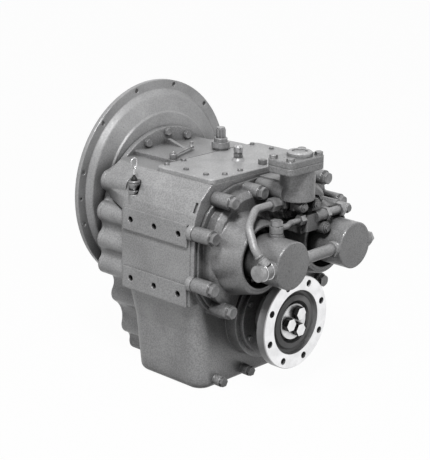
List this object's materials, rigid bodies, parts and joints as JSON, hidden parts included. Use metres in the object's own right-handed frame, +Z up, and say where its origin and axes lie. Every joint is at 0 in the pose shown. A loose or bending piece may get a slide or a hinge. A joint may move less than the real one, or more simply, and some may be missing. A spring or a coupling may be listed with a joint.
{
  "type": "marine gearbox",
  "caption": "Reversing marine gearbox: dished engine bell ring, deep cast casing, two clutch shaft covers with oil pipes, filter column and bolted output flange.",
  "frame": {"origin": "centre of the bell's engine face, on the input shaft axis", "axes": "+Y toward the engine, +Z up, +X to the right when looking forward at the output side"},
  "size_m": [0.5524, 0.613, 0.7192],
  "materials": {
    "bell_casting": "grey enamel over a machined casting",
    "casing_casting": "grey enamel over sand-cast iron",
    "cover_casting": "grey enamel over sand-cast iron",
    "plate_paint": "grey enamel over flat plate",
    "bolt_steel": "painted over and worn steel",
    "bright_steel": "bright machined steel",
    "gear_steel": "ground and oiled gear steel",
    "plated_steel": "plated steel fittings",
    "pipe_steel": "grey painted steel pipe",
    "seal_rubber": "oil-resistant rubber",
    "gasket": "pressed fibre gasket",
    "filter_paper": "pleated filter paper",
    "friction_lining": "sintered lining on steel",
    "wire_steel": "drawn steel rod"
  },
  "bodies": {
    "housing": {"bell_housing": "bell_casting", "front_housing": "casing_casting", "bell_bolts": "bolt_steel", "housing_screws": "bolt_steel", "main_casing": "casing_casting", "top_cover": "plate_paint", "top_screws": "bolt_steel", "breather_body": "plated_steel", "breather_cap": "plated_steel", "temperature_switch": "plated_steel", "cover_gasket": "gasket", "aft_cover": "cover_casting", "cover_bolts": "bolt_steel", "left_shaft_cover": "cover_casting", "right_shaft_cover": "cover_casting", "small_screws": "bolt_steel", "banjo_bolts": "plated_steel", "left_feed_pipe": "pipe_steel", "right_feed_pipe": "pipe_steel", "cross_pipe": "pipe_steel", "link_pipe": "pipe_steel", "pipe_unions": "plated_steel", "valve_block": "cover_casting", "plugs": "bolt_steel", "filter_lid": "cover_casting", "filter_cap": "plate_paint", "filter_lid_bolts": "bolt_steel", "filter_element": "filter_paper", "dipstick_tube": "plated_steel", "seal_carrier": "casing_casting", "shaft_seals": "seal_rubber", "outer_races": "gear_steel", "pump_housing": "casing_casting"},
    "input": {"input_shaft": "gear_steel", "input_bearing": "gear_steel", "pump_quill": "gear_steel"},
    "pump_idler": {"pump_idler": "gear_steel"},
    "left_clutch": {"left_clutch_shaft": "gear_steel", "left_drive_gear": "gear_steel", "left_drum": "gear_steel", "left_steel_plates": "gear_steel", "left_bearings": "gear_steel"},
    "right_clutch": {"right_clutch_shaft": "gear_steel", "right_drum": "gear_steel", "right_steel_plates": "gear_steel", "right_bearings": "gear_steel"},
    "left_piston": {"left_piston": "gear_steel"},
    "right_piston": {"right_piston": "gear_steel"},
    "left_pinion": {"left_pinion": "gear_steel", "left_friction_discs": "friction_lining"},
    "right_pinion": {"right_pinion": "gear_steel", "right_friction_discs": "friction_lining"},
    "output": {"output_shaft": "gear_steel", "bull_gear": "gear_steel", "output_flange": "bright_steel", "retaining_disc": "bright_steel", "retaining_bolts": "plated_steel", "output_bearings": "gear_steel"},
    "selector_lever": {"selector_lever": "plated_steel"},
    "dipstick": {"dipstick": "wire_steel"}
  },
  "joints": [
    {"name": "left_clutch_spin", "type": "hinge", "parent": "housing", "child": "left_clutch", "pos_m": [-0.11925, -0.2, -0.07239], "axis": [0, -1, 0], "continuous": true},
    {"name": "input_spin", "type": "hinge", "parent": "housing", "child": "input", "pos_m": [0, -0.2, 0], "axis": [0, -1, 0], "continuous": true},
    {"name": "right_clutch_spin", "type": "hinge", "parent": "housing", "child": "right_clutch", "pos_m": [0.11925, -0.2, -0.07239], "axis": [0, -1, 0], "continuous": true},
    {"name": "pump_idler_spin", "type": "hinge", "parent": "housing", "child": "pump_idler", "pos_m": [0, -0.388, -0.042], "axis": [0, -1, 0], "continuous": true},
    {"name": "output_spin", "type": "hinge", "parent": "housing", "child": "output", "pos_m": [0, -0.2, -0.26906], "axis": [0, -1, 0], "continuous": true},
    {"name": "left_pinion_spin", "type": "hinge", "parent": "housing", "child": "left_pinion", "pos_m": [-0.11925, -0.338, -0.07239], "axis": [0, -1, 0], "continuous": true},
    {"name": "right_pinion_spin", "type": "hinge", "parent": "housing", "child": "right_pinion", "pos_m": [0.11925, -0.338, -0.07239], "axis": [0, -1, 0], "continuous": true},
    {"name": "left_piston_slide", "type": "slide", "parent": "left_clutch", "child": "left_piston", "axis": [0, -1, 0], "range_m": [0, 0.0025]},
    {"name": "right_piston_slide", "type": "slide", "parent": "right_clutch", "child": "right_piston", "axis": [0, -1, 0], "range_m": [0, 0.0025]},
    {"name": "selector_lever_turn", "type": "hinge", "parent": "housing", "child": "selector_lever", "pos_m": [-0.112, -0.193, 0.12], "axis": [0, 0, 1], "range_deg": [-40, 40]},
    {"name": "dipstick_slide", "type": "slide", "parent": "housing", "child": "dipstick", "axis": [0, 0, 1], "range_m": [0, 0.22]}
  ],
  "couplings": [
    {"joint": "input_spin", "follows": "left_clutch_spin", "ratio": -1},
    {"joint": "right_clutch_spin", "follows": "left_clutch_spin", "ratio": -1},
    {"joint": "pump_idler_spin", "follows": "left_clutch_spin", "ratio": 1},
    {"joint": "left_pinion_spin", "follows": "output_spin", "ratio": -1.9677},
    {"joint": "right_pinion_spin", "follows": "output_spin", "ratio": -1.9677}
  ]
}
